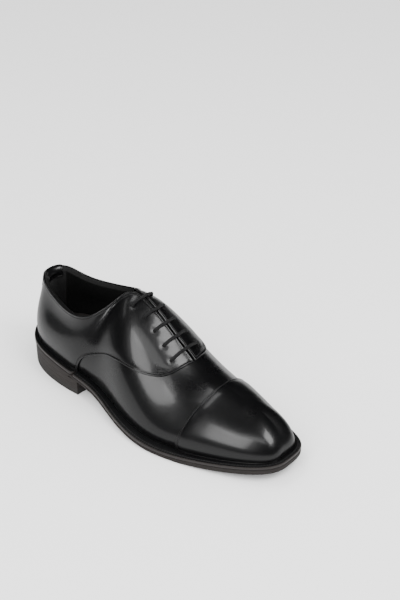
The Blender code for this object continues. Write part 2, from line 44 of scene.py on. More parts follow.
# The last: every layer of the upper lies at its own depth below this surface.
# Sections in mm from the tip of the toe to the back of the heel: x, y outer side, y inner side,
# inset, bulge outer, bulge inner, rise, top x, top y, top z, reach, drop
lastSections = (
    (303.0, -4.0, -4.0, 7.4, 1.5, 1.5, 13.3, 259.3, 0.0, 43.8, 19.7, 4.4),
    (298.8, -22.0, 15.1, 6.6, 2.5, 0.2, 12.7, 259.3, 0.0, 43.8, 21.0, 3.0),
    (274.9, -38.9, 30.6, 7.5, 6.0, 0.5, 15.0, 249.0, 0.0, 45.0, 18.5, 0.0),
    (233.0, -54.0, 48.0, 8.8, 7.0, 1.0, 18.5, 226.0, 0.0, 50.0, 24.0, 0.0),
    (190.0, -62.0, 58.0, 8.5, 4.0, 2.5, 19.0, 194.0, 0.0, 60.0, 29.0, 0.5),
    (149.0, -56.0, 49.0, 7.0, 4.0, 4.0, 34.0, 145.0, 0.0, 95.5, 31.5, 4.0),
    (114.0, -46.5, 38.5, 6.5, 6.0, 4.0, 33.0, 116.5, -8.2, 96.0, 15.5, 14.0),
    (81.0, -46.5, 39.5, 6.2, 6.0, 5.0, 30.0, 95.5, -31.5, 78.5, 3.0, 21.0),
    (41.0, -41.0, 36.5, 6.0, 4.5, 4.0, 26.0, 49.5, -24.0, 74.0, 2.8, 22.0),
    (13.2, -24.2, 21.0, 5.0, 3.0, 2.2, 24.0, 23.0, -14.6, 81.5, 3.2, 23.5),
    (1.0, 0.0, 0.0, 5.0, 2.5, 2.5, 25.0, 16.0, 0.0, 83.5, 4.0, 24.0),
)
bottomProfile = {
    "x": (0, 40, 78, 110, 150, 185, 215, 245, 275, 303),
    "weltTop": (25, 25.8, 23.3, 16.8, 10, 6.4, 6.2, 8.6, 12.7, 17),
    "soleUnder": (20.8, 20.4, 17.6, 10.6, 4, 0.5, -0.5, 1.6, 5.2, 9.4),
}
centre = np.array((0.152, -0.002, 0.0))
unit = lambda v: v / np.linalg.norm(v, axis=-1, keepdims=True)
atHeight = lambda xy, z: np.concatenate([xy, z[..., None]], -1)


def eased(x):
    # From 0 to 1 with level ends, by a cubic.
    x = np.clip(x, 0, 1)
    return x * x * (3 - 2 * x)


def lengthAlong(points):
    return np.concatenate([[0], np.cumsum(np.linalg.norm(np.diff(points, axis=0), axis=1))])


def cubic(knots, values):
    # A natural cubic spline: the bends at the knots come from one linear system.
    x, y = np.asarray(knots, float), np.asarray(values, float)
    n, h = len(x), np.diff(x)
    matrix, right = np.eye(n), np.zeros_like(y)
    for i in range(1, n - 1):
        matrix[i, i - 1 : i + 2] = h[i - 1], 2 * (h[i - 1] + h[i]), h[i]
        right[i] = 6 * ((y[i + 1] - y[i]) / h[i] - (y[i] - y[i - 1]) / h[i - 1])
    bend = np.linalg.solve(matrix, right)

    def value(at):
        at = np.asarray(at, float)
        i = np.clip(np.searchsorted(x, at) - 1, 0, n - 2)
        step, t = h[i], at - x[i]
        if y.ndim > 1:
            step, t = step[..., None], t[..., None]
        third = (bend[i + 1] - bend[i]) / (6 * step)
        first = (y[i + 1] - y[i]) / step - step * (2 * bend[i] + bend[i + 1]) / 6
        return ((third * t + bend[i] / 2) * t + first) * t + y[i]

    return value


def sectionRows():
    rows = []
    for k in (*range(11), *range(9, 0, -1)):
        x, outer, inner, inset, bulgeOut, bulgeIn, rise, tx, ty, tz, reach, drop = lastSections[k]
        onOuter = len(rows) < 11
        y, bulge = (outer, bulgeOut) if onOuter else (inner, bulgeIn)
        rows.append((x, y, inset, bulge, rise, tx, ty if onOuter else -ty, tz, reach, drop))
    return np.array(rows) * mm


ringRows = sectionRows()
ringWrap = np.arange(-4, len(ringRows) + 5)
ringSpline = cubic(ringWrap, ringRows[ringWrap % len(ringRows)])
weltTop = cubic(np.array(bottomProfile["x"]) * mm, np.array(bottomProfile["weltTop"]) * mm)
underCurve = cubic(np.array(bottomProfile["x"]) * mm, np.array(bottomProfile["soleUnder"]) * mm)
soleUnder = lambda x: np.maximum(underCurve(x), 0)
ring = lambda s: ringSpline((np.asarray(s, float) % 1.0) * len(ringRows))


def outward(s):
    # The level direction out of the outline, square to it.
    along = unit(ring(s + 1e-3)[..., :2] - ring(s - 1e-3)[..., :2])
    return np.stack([-along[..., 1], along[..., 0]], -1)


def edgePoint(s, inset):
    return ring(s)[..., :2] - outward(s) * np.asarray(inset)[..., None]


def lastPoint(s, t):
    # One Bezier curve up each section: foot, side, shoulder and top, with t from 0 to 1.
    row, out = ring(s), outward(s)
    footXy = row[..., :2] - out * row[..., 2:3]
    foot = atHeight(footXy, weltTop(footXy[..., 0]) + 0.6 * mm)
    side, top = foot.copy(), row[..., 5:8]
    side[..., :2] += out * row[..., 3:4]
    side[..., 2] += row[..., 4]
    shoulder = top.copy()
    shoulder[..., :2] += out * row[..., 8:9]
    shoulder[..., 2] -= row[..., 9]
    t = t[..., None]
    return (1 - t) ** 3 * foot + 3 * t * (1 - t) ** 2 * side + 3 * t * t * (1 - t) * shoulder + t**3 * top


def lastNormal(s, t):
    # The cross product of the two directions over the surface; on the ridge it has no sideways part.
    low, high, near = np.clip(t - 2e-3, 0, 1), np.clip(t + 2e-3, 0, 1), np.minimum(t, 0.985)
    up = lastPoint(s, high) - lastPoint(s, low)
    around = lastPoint(s + 1e-3, near) - lastPoint(s - 1e-3, near)
    normal = np.cross(up, around)
    onRidge = (t > 0.995) & (np.minimum(s % 1, 1 - s % 1) < 0.264)
    normal[..., 1] = np.where(onRidge, 0, normal[..., 1])
    return unit(normal)


def below(s, t, depth):
    s, t, depth = np.broadcast_arrays(np.asarray(s, float), np.asarray(t, float), depth)
    return lastPoint(s, t) - lastNormal(s, t) * depth[..., None] - centre


# The lines that the pieces are cut to: place round the outline, and height from 0 at the foot to 1 at the top.
lines = {
    "laceHoles": ((0.260, 0.865), (0.244, 0.87), (0.232, 0.864), (0.221, 0.845), (0.2105, 0.81)),
    "frontEdge": (
        (0.3385, 0.0), (0.334, 0.10), (0.3285, 0.21), (0.3165, 0.297), (0.293, 0.348), (0.265, 0.403),
        (0.2408, 0.463), (0.2236, 0.537), (0.2115, 0.632), (0.2035, 0.77), (0.199, 1.0),
    ),
    "capAtSole": 0.166,
    "capAtTop": 0.150,
    "breast": 0.331,
    "wedgeEnd": 0.348,
    "randEnd": 0.340,
    "weltEnd": 0.338,
}
layers = {
    "outer": -1.3 * mm, "under": 1.1 * mm, "lining": 3.5 * mm, "leather": 1.2 * mm, "liningThick": 1.0 * mm
}
frontLine = cubic(np.linspace(0, 1, len(lines["frontEdge"])), lines["frontEdge"])
frontDense = frontLine(np.linspace(0, 1, 400))
frontPlace = lambda t: np.interp(t, frontDense[:, 1], frontDense[:, 0])
capEdge = lambda t: lines["capAtSole"] + (lines["capAtTop"] - lines["capAtSole"]) * t**3
topline = lambda s: 1 - 0.0105 * np.clip((0.274 - s) / 0.012, 0, 1)


def crowded(count, low=True):
    # Places from 0 to 1 that crowd together at both ends by a cosine, or only at the far end by a sine.
    x = np.linspace(0, 1, count)
    return 0.12 * x + 0.88 * ((1 - np.cos(pi * x)) / 2 if low else np.sin(pi / 2 * x))


def gridFaces(rows, columns, start=0):
    corner = start + np.arange(rows - 1)[:, None] * columns + np.arange(columns - 1)
    return np.stack([corner, corner + 1, corner + columns + 1, corner + columns], -1).reshape(-1, 4)


def makeMesh(name, points, faces, look, attributes=None, uv=None, weld=1e-6, turn=True, body="shoe"):
    mesh = bpy.data.meshes.new(name)
    mesh.from_pydata(np.asarray(points).reshape(-1, 3).tolist(), [], [list(f) for f in faces])
    for key, values in (attributes or {}).items():
        mesh.attributes.new(key, "FLOAT", "POINT").data.foreach_set(
            "value", np.asarray(values, np.float32).ravel()
        )
    if uv is not None:
        corners = np.zeros(len(mesh.loops), np.int32)
        mesh.loops.foreach_get("vertex_index", corners)
        mesh.uv_layers.new(name="cloth").data.foreach_set(
            "uv", np.asarray(uv, np.float32).reshape(-1, 2)[corners].ravel()
        )
    work = bmesh.new()
    work.from_mesh(mesh)
    if weld:
        bmesh.ops.remove_doubles(work, verts=work.verts, dist=weld)
        bmesh.ops.dissolve_degenerate(work, edges=work.edges, dist=1e-8)
    if turn:
        bmesh.ops.recalc_face_normals(work, faces=work.faces)
    work.to_mesh(mesh)
    work.free()
    mesh.shade_smooth()
    mesh.set_sharp_from_angle(angle=radians(48))
    mesh.materials.append(look)
    piece = bpy.data.objects.new(name, mesh)
    bpy.context.scene.collection.objects.link(piece)
    if body:
        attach(piece, body)
    return piece


def rimDistance(points, sides):
    # Distance from every grid point to the nearest piece of the chosen border lines.
    borders = {"first": points[0], "last": points[-1], "left": points[:, 0], "right": points[:, -1]}
    flat = points.reshape(-1, 3)
    nearest = np.full(len(flat), 1.0)
    for side in sides:
        line = borders[side]
        a, b = line[:-1], line[1:]
        for start in range(0, len(a), 48):
            base, way = a[start : start + 48], (b - a)[start : start + 48]
            size = np.maximum((way**2).sum(-1), 1e-16)
            rel = flat[:, None] - base
            share = np.clip((rel * way).sum(-1) / size, 0, 1)
            gap = ((rel - way * share[..., None]) ** 2).sum(-1).min(1)
            nearest = np.minimum(nearest, gap)
    return np.sqrt(nearest).reshape(points.shape[:2])


def makeShell(name, middle, half, look, sides, rounding, body="shoe"):
    # Two skins, middle plus and minus half. Towards a border they meet in a half round.
    rim = rimDistance(middle, sides)
    fat = np.sqrt(np.clip(1 - (1 - np.clip(rim / rounding, 0, 1)) ** 2, 0, 1))[..., None]
    rows, columns = middle.shape[:2]
    points = np.concatenate([(middle + half * fat).reshape(-1, 3), (middle - half * fat).reshape(-1, 3)])
    faces = gridFaces(rows, columns)
    faces = np.concatenate([faces, gridFaces(rows, columns, rows * columns)[:, ::-1]])
    return makeMesh(name, points, faces.tolist(), look, attributes={"rim": np.stack([rim, rim])}, body=body)


def dimples(points, side, reach, depth):
    # How far the leather is drawn in round the lace holes: a bell curve round each hole.
    sink = np.zeros(points.shape[:2])
    for s, t in lines["laceHoles"]:
        hole = below(s * side, t, 0.0)
        sink += depth * np.exp(-(((points - hole) ** 2).sum(-1)) / reach**2)
    return sink


# Where one piece of leather laps over the next it comes down to it, by a bell curve from its edge.
lap = {"drop": 0.8 * mm, "reach": 5 * mm, "foot": 0.9 * mm}
lapBend = lambda away: lap["drop"] * np.exp(-((away / lap["reach"]) ** 2))


def sheet(name, s, t, depth, thickness, look, sides, rounding=0.8 * mm, fold=0.0, sink=None, lapSide=None):
    # A sheet of leather over the last: fold thickens it where its edge is turned in,
    # and along its lap side it bends down to the piece below.
    s, t = np.broadcast_arrays(np.asarray(s, float), np.asarray(t, float))
    normal = lastNormal(s, t)
    outer = below(s, t, 0.0)
    rim = rimDistance(outer, sides)
    if np.ndim(depth) == 0 and depth < layers["lining"]:  # the upper reaches down into the welt's groove
        outer[..., 2] -= lap["foot"] * np.clip(1 - t / 0.03, 0, 1)
    inner = depth + thickness
    if lapSide:
        bent = lapBend(rimDistance(outer, (lapSide,)))
        depth, inner = depth + bent, inner + bent
    raised = depth - fold * np.exp(-((rim / (1.7 * mm)) ** 4))
    if sink is not None:
        raised = raised + sink(outer)
    middle = outer - normal * ((raised + inner) / 2)[..., None]
    half = normal * ((inner - raised) / 2)[..., None]
    return makeShell(name, middle, half, look, sides, rounding)


def hoop(first, last, rows, columns, low=True):
    # Places and heights of a sheet that goes over the forefoot from one side to the other.
    v = 2 * crowded(columns)
    height, side = 1 - np.abs(1 - v), np.where(v <= 1, 1.0, -1.0)
    share = crowded(rows, low)[:, None]
    return (first(height) * (1 - share) + last(height) * share) * side, height[None, :] + 0 * share


def shifted(s, t, distance):
    # The same line moved sideways over the surface: solves for the steps in s and t.
    step = 1e-4
    inS = (lastPoint(s + step, t) - lastPoint(s - step, t)) / (2 * step)
    inT = (lastPoint(s, t + step) - lastPoint(s, t - step)) / (2 * step)
    along = np.gradient(lastPoint(s, t), axis=0)
    along /= np.maximum(np.linalg.norm(along, axis=-1, keepdims=True), 1e-12)
    way = np.cross(lastNormal(s, t), along)
    dot = lambda p, q: (p * q).sum(-1)
    det = dot(inS, inS) * dot(inT, inT) - dot(inS, inT) ** 2
    ds = (dot(inT, inT) * dot(inS, way) - dot(inS, inT) * dot(inT, way)) / det
    dt = (dot(inS, inS) * dot(inT, way) - dot(inS, inT) * dot(inS, way)) / det
    return s + ds * distance, np.clip(t + dt * distance, 0, 1)


threadSet = {"pitch": 1.75 * mm, "length": 1.35 * mm, "radius": 0.19 * mm, "sides": 6, "rings": 4}


def stitches(name, paths, look, values=threadSet):
    # Short threads laid end to end along each path: a little arch with rounded ends.
    rings, sides = values["rings"], values["sides"]
    x = np.linspace(-1, 1, rings)
    slim = np.sqrt(np.clip(1 - (np.abs(x) * 0.93) ** 3, 0, 1))
    turn = np.arange(sides) * 2 * pi / sides
    spots, faces, count = [], [], 0
    for points, normals in paths:
        length = lengthAlong(points)
        number = max(int(length[-1] / values["pitch"]), 2)
        at = (np.arange(number) + 0.5) * length[-1] / number
        pick = lambda grid, more=0.0: np.stack([np.interp(at + more, length, grid[:, k]) for k in range(3)], -1)
        place, up = pick(points), pick(normals)
        along = unit(pick(points, 4e-4) - pick(points, -4e-4))
        across = unit(np.cross(up, along))
        up = np.cross(along, across)
        r = values["radius"]
        rise = 0.35 * r - 0.9 * r * x**2
        body3 = (
            place[:, None, None] + along[:, None, None] * (x * values["length"] / 2)[None, :, None, None]
            + up[:, None, None] * (rise[:, None] + r * slim[:, None] * np.sin(turn))[None, ..., None]
            + across[:, None, None] * (1.15 * r * slim[:, None] * np.cos(turn))[None, ..., None]
        )
        spots.append(body3.reshape(-1, 3))
        ring0 = np.arange(rings - 1)[:, None] * sides + np.arange(sides)
        ring1 = np.arange(rings - 1)[:, None] * sides + (np.arange(sides) + 1) % sides
        wall = np.stack([ring0, ring0 + sides, ring1 + sides, ring1], -1).reshape(-1, 4)
        start = count + np.arange(number)[:, None, None] * rings * sides
        faces += (wall[None] + start).reshape(-1, 4).tolist()
        caps = np.stack([np.arange(sides)[::-1], (rings - 1) * sides + np.arange(sides)])
        faces += (caps[None] + start).reshape(-1, sides).tolist()
        count += number * rings * sides
    return makeMesh(name, np.concatenate(spots), faces, look, weld=0, turn=False)


def overLast(s, t, depth):
    # A seam's points and the way out of the leather, for a line over the last.
    s, t = np.broadcast_arrays(np.asarray(s, float), np.asarray(t, float))
    return below(s, t, depth), lastNormal(s, t)


def tube(name, points, radius, sides, look):
    # A round section carried along a path: the frame is turned as little as possible from ring to ring.
    along = unit(np.gradient(points, axis=0))
    across = [unit(np.cross(along[0], (0, 0, 1.0)))]
    for direction in along[1:]:
        across.append(unit(across[-1] - direction * (across[-1] @ direction)))
    across = np.array(across)
    other = np.cross(along, across)
    turn = np.arange(sides + 1) * 2 * pi / sides
    round3 = across[:, None] * np.cos(turn)[None, :, None] + other[:, None] * np.sin(turn)[None, :, None]
    body3 = points[:, None] + radius * round3
    count, wide = len(points), sides + 1
    length = lengthAlong(points)
    uv = np.stack(
        np.broadcast_arrays(turn[None] / (2 * pi), length[:, None] / (2 * pi * radius)), -1
    ).reshape(-1, 2)
    faces = gridFaces(count, wide).tolist()
    tips = np.concatenate([points[:1] - along[:1] * radius * 0.5, points[-1:] + along[-1:] * radius * 0.5])
    n = count * wide
    faces += [(j + 1, j, n) for j in range(sides)] + [
        (n - wide + j, n - wide + j + 1, n + 1) for j in range(sides)
    ]
    spots = np.concatenate([body3.reshape(-1, 3), tips])
    uv = np.concatenate([uv, [[0.5, 0], [0.5, length[-1] / (2 * pi * radius)]]])
    return makeMesh(name, spots, faces, look, uv=uv)


def newGroup(name, inputs, outputs):
    tree = bpy.data.node_groups.new(name, "ShaderNodeTree")
    for label, kind, value in inputs:
        socket = tree.interface.new_socket(name=label, in_out="INPUT", socket_type=kind)
        if value is not None:
            socket.default_value = value
    for label, kind in outputs:
        tree.interface.new_socket(name=label, in_out="OUTPUT", socket_type=kind)
    return tree, tree.nodes.new("NodeGroupInput"), tree.nodes.new("NodeGroupOutput")


def put(tree, kind, **settings):
    node = tree.nodes.new(kind)
    for key, value in settings.items():
        setattr(node, key, value)
    return node


def join(tree, source, target):
    tree.links.new(source, target)


def maths(tree, operation, *terms):
    node = put(tree, "ShaderNodeMath", operation=operation)
    for socket, term in zip(node.inputs, terms):
        if isinstance(term, (int, float)):
            socket.default_value = term
        else:
            join(tree, term, socket)
    return node.outputs[0]


times = lambda tree, *terms: maths(tree, "MULTIPLY", *terms)
plus = lambda tree, *terms: maths(tree, "ADD", *terms)
minus = lambda tree, *terms: maths(tree, "SUBTRACT", *terms)


def noise(tree, where, scale, detail=3.0, rough=0.55):
    node = put(tree, "ShaderNodeTexNoise")
    join(tree, where, node.inputs["Vector"])
    if isinstance(scale, (int, float)):
        node.inputs["Scale"].default_value = scale
    else:
        join(tree, scale, node.inputs["Scale"])
    node.inputs["Detail"].default_value = detail
    node.inputs["Roughness"].default_value = rough
    return node.outputs["Fac"]


def spread(tree, value, fromLow, fromHigh, toLow=0.0, toHigh=1.0):
    node = put(tree, "ShaderNodeMapRange")
    join(tree, value, node.inputs["Value"])
    for key, number in (("From Min", fromLow), ("From Max", fromHigh), ("To Min", toLow), ("To Max", toHigh)):
        node.inputs[key].default_value = number
    return node.outputs["Result"]


def mixColour(tree, share, dark, light):
    node = put(tree, "ShaderNodeMix", data_type="RGBA")
    for socket, value in ((node.inputs[0], share), (node.inputs[6], dark), (node.inputs[7], light)):
        if isinstance(value, (tuple, float, int)):
            socket.default_value = (*value, 1) if isinstance(value, tuple) else value
        else:
            join(tree, value, socket)
    return node.outputs[2]


value, vector = "NodeSocketFloat", "NodeSocketVector"


def grainGroup():
    # Leather: soft waves in the hide, small cells between creases, and pores.
    tree, given, out = newGroup(
        "hide grain",
        [("Place", vector, None), ("Cells", value, 1400.0), ("Waves", value, 0.5), ("Pebble", value, 0.5)],
        [("Height", value), ("Tone", value)],
    )
    waves = noise(tree, given.outputs["Place"], 55.0, 2.0, 0.5)
    cells = put(tree, "ShaderNodeTexVoronoi", feature="DISTANCE_TO_EDGE")
    join(tree, given.outputs["Place"], cells.inputs["Vector"])
    join(tree, given.outputs["Cells"], cells.inputs["Scale"])
    crease = spread(tree, cells.outputs["Distance"], 0.0, 0.16)
    pores = noise(tree, given.outputs["Place"], times(tree, given.outputs["Cells"], 2.6), 2.0, 0.6)
    fine = plus(tree, times(tree, crease, 0.7), times(tree, pores, 0.5))
    height = plus(tree, times(tree, waves, given.outputs["Waves"]), times(tree, fine, given.outputs["Pebble"]))
    join(tree, height, out.inputs["Height"])
    join(tree, noise(tree, given.outputs["Place"], 24.0, 4.0, 0.6), out.inputs["Tone"])
    return tree


def seamGroup():
    # A sewn line beside an edge: a groove where the thread is pulled down.
    tree, given, out = newGroup(
        "seam beside edge",
        [("Rim", value, 0.01), ("Offset", value, 0.002), ("Width", value, 0.0005)],
        [("Height", value), ("Mask", value)],
    )
    off = maths(
        tree, "DIVIDE", minus(tree, given.outputs["Rim"], given.outputs["Offset"]), given.outputs["Width"]
    )
    bell = maths(tree, "EXPONENT", times(tree, times(tree, off, off), -1.0))
    join(tree, times(tree, bell, -1.0), out.inputs["Height"])
    join(tree, bell, out.inputs["Mask"])
    return tree


def wearGroup():
    # Rubbed edges with painted sheen: the colour is lighter near the rim, partly wear and partly a painted
    # highlight, strongest on the rim, broken up by noise.
    tree, given, out = newGroup(
        "edge wear and painted sheen", [("Place", vector, None), ("Rim", value, 0.01), ("Reach", value, 0.0012)],
        [("Mask", value)]
    )
    near = minus(tree, 1.0, maths(tree, "DIVIDE", given.outputs["Rim"], given.outputs["Reach"]))
    patchy = spread(tree, noise(tree, given.outputs["Place"], 420.0, 3.0, 0.6), 0.35, 0.7)
    wornAndSheen = put(tree, "ShaderNodeClamp")
    join(tree, times(tree, near, patchy), wornAndSheen.inputs["Value"])
    join(tree, wornAndSheen.outputs[0], out.inputs["Mask"])
    return tree


def layerGroup():
    # Leather pressed in layers, seen from its edge: thin level lines, streaks along them and fine fibres.
    tree, given, out = newGroup(
        "pressed layers", [("Place", vector, None), ("Lines", value, 900.0)],
        [("Height", value), ("Tone", value)]
    )
    apart = put(tree, "ShaderNodeSeparateXYZ")
    join(tree, given.outputs["Place"], apart.inputs[0])
    long = put(tree, "ShaderNodeMapping")
    join(tree, given.outputs["Place"], long.inputs["Vector"])
    long.inputs["Scale"].default_value = (0.12, 0.12, 1.0)
    streak = noise(tree, long.outputs[0], 1300.0, 4.0, 0.6)
    wave = maths(
        tree, "SINE",
        plus(tree, times(tree, apart.outputs[2], given.outputs["Lines"]), times(tree, streak, 2.5))
    )
    fibre = noise(tree, given.outputs["Place"], 3000.0, 2.0, 0.6)
    join(
        tree, plus(tree, times(tree, wave, 0.3), plus(tree, streak, times(tree, fibre, 0.4))),
        out.inputs["Height"]
    )
    join(tree, streak, out.inputs["Tone"])
    return tree


def napGroup():
    # Suede and felted surfaces: short fibres lying in patches brushed different ways.
    tree, given, out = newGroup(
        "nap", [("Place", vector, None), ("Fibres", value, 3500.0)], [("Height", value), ("Tone", value)]
    )
    fibre = noise(tree, given.outputs["Place"], given.outputs["Fibres"], 4.0, 0.7)
    brushed = noise(tree, given.outputs["Place"], 130.0, 3.0, 0.6)
    join(tree, plus(tree, fibre, times(tree, brushed, 0.6)), out.inputs["Height"])
    join(tree, times(tree, plus(tree, fibre, brushed), 0.5), out.inputs["Tone"])
    return tree


def braidGroup():
    # A braided cord: two sets of strands that wind opposite ways round it and pass over each other.
    tree, given, out = newGroup(
        "braid", [("Round", value, 0.0), ("Along", value, 0.0), ("Strands", value, 8.0)],
        [("Height", value), ("Tone", value)]
    )
    ways = []
    for sign in (1.0, -1.0):
        turn = plus(tree, given.outputs["Round"], times(tree, given.outputs["Along"], sign * 0.75))
        ways.append(maths(tree, "SINE", times(tree, times(tree, turn, given.outputs["Strands"]), pi)))
    both = times(tree, ways[0], ways[1])
    raised = maths(tree, "ABSOLUTE", both)
    join(tree, raised, out.inputs["Height"])
    join(tree, spread(tree, both, -1.0, 1.0), out.inputs["Tone"])
    return tree


groups = {
    "grain": grainGroup(), "seam": seamGroup(), "wearAndSheen": wearGroup(), "layers": layerGroup(), "nap": napGroup(),
    "braid": braidGroup()
}


def place(tree, which):
    return put(tree, "ShaderNodeGroup", node_tree=groups[which])


def newLook(name, constants):
    look = bpy.data.materials.new(name)
    look.use_nodes = True
    tree = look.node_tree
    shader = tree.nodes["Principled BSDF"]
    for key, number in constants.items():
        shader.inputs[key].default_value = number
    where = put(tree, "ShaderNodeTexCoord").outputs["Object"]
    return look, tree, shader, where


def bump(tree, shader, height, distance, strength=1.0):
    node = put(tree, "ShaderNodeBump")
    node.inputs["Distance"].default_value = distance
    node.inputs["Strength"].default_value = strength
    join(tree, height, node.inputs["Height"])
    join(tree, node.outputs["Normal"], shader.inputs["Normal"])


def leatherLook(name, values):
    # Hide with grain, a sewn groove along its edges where wanted, and rubbed edges painted lighter, partly wear
    # and partly a painted highlight.
    look, tree, shader, where = newLook(
        name, {"IOR": values["ior"], "Coat Roughness": values["coatRoughness"], "Coat IOR": 1.5}
    )
    grain = place(tree, "grain")
    join(tree, where, grain.inputs["Place"])
    grain.inputs["Cells"].default_value = values["cells"]
    grain.inputs["Waves"].default_value = values["waves"]
    grain.inputs["Pebble"].default_value = values["pebble"]
    rim = put(tree, "ShaderNodeAttribute", attribute_name="rim").outputs["Fac"]
    height = grain.outputs["Height"]
    for offset in values["seams"]:
        seam = place(tree, "seam")
        join(tree, rim, seam.inputs["Rim"])
        seam.inputs["Offset"].default_value = offset
        height = plus(tree, height, times(tree, seam.outputs["Height"], values["seamDepth"]))
    wearAndSheen = place(tree, "wearAndSheen")
    join(tree, where, wearAndSheen.inputs["Place"])
    join(tree, rim, wearAndSheen.inputs["Rim"])
    toned = mixColour(tree, grain.outputs["Tone"], values["dark"], values["light"])
    # painted highlight: the rim is mixed towards a lighter colour, partly rubbed wear and partly painted sheen
    # on the edge
    toned = mixColour(tree, times(tree, wearAndSheen.outputs["Mask"], values["wornAndSheen"]), toned, values["rubbedAndSheen"])
    if "side" in values:  # the trimmed side of a welt takes the colour of the sole's edge
        toned = mixColour(tree, spread(tree, rim, 0.0011, 0.0006), toned, values["side"])
    join(tree, toned, shader.inputs["Base Color"])
    join(
        tree,
        spread(tree, grain.outputs["Tone"], 0.3, 0.7, values["roughness"] * 0.85, values["roughness"] * 1.15),
        shader.inputs["Roughness"]
    )
    join(
        tree, spread(tree, grain.outputs["Tone"], 0.2, 0.8, values["coat"] * 0.92, values["coat"]),
        shader.inputs["Coat Weight"]
    )
    bump(tree, shader, height, values["bump"])
    return look


# The rubbed rim's share and colour: partly wear, partly a painted highlight.
polished = {
    "dark": (0.0016, 0.0016, 0.0018), "light": (0.0032, 0.0032, 0.0035), "roughness": 0.3, "coat": 0.42,
    "coatRoughness": 0.13, "ior": 1.34,
    "cells": 1500.0, "waves": 1.2, "pebble": 0.12, "bump": 0.00016, "wornAndSheen": 0.25, "rubbedAndSheen": (0.03, 0.03, 0.03),
    "seams": (), "seamDepth": 4.0,
}


def plainLook(name, which, values):
    # A surface whose colour, roughness and bump all come from one effect.
    look, tree, shader, where = newLook(name, values.get("constants", {}))
    effect = place(tree, which)
    join(tree, where, effect.inputs["Place"])
    for key, number in values.get("effect", {}).items():
        effect.inputs[key].default_value = number
    tone = spread(tree, effect.outputs["Tone"], 0.25, 0.75)
    join(tree, mixColour(tree, tone, values["dark"], values["light"]), shader.inputs["Base Color"])
    join(tree, spread(tree, effect.outputs["Tone"], 0.2, 0.8, *values["roughness"]), shader.inputs["Roughness"])
    bump(tree, shader, effect.outputs["Height"], values["bump"])
    return look


def cordLook(name, values):
    look, tree, shader, where = newLook(
        name, {"IOR": 1.45, "Sheen Weight": values["sheen"], "Sheen Roughness": 0.4}
    )
    flat = put(tree, "ShaderNodeUVMap", uv_map="cloth")
    apart = put(tree, "ShaderNodeSeparateXYZ")
    join(tree, flat.outputs[0], apart.inputs[0])
    braid = place(tree, "braid")
    join(tree, apart.outputs[0], braid.inputs["Round"])
    join(tree, apart.outputs[1], braid.inputs["Along"])
    braid.inputs["Strands"].default_value = values["strands"]
    fuzz = noise(tree, where, 5200.0, 2.0, 0.6)
    join(
        tree, mixColour(tree, braid.outputs["Tone"], values["dark"], values["light"]),
        shader.inputs["Base Color"]
    )
    join(tree, spread(tree, fuzz, 0.2, 0.8, 0.6, 0.8), shader.inputs["Roughness"])
    bump(tree, shader, plus(tree, braid.outputs["Height"], times(tree, fuzz, 0.3)), values["bump"])
    return look


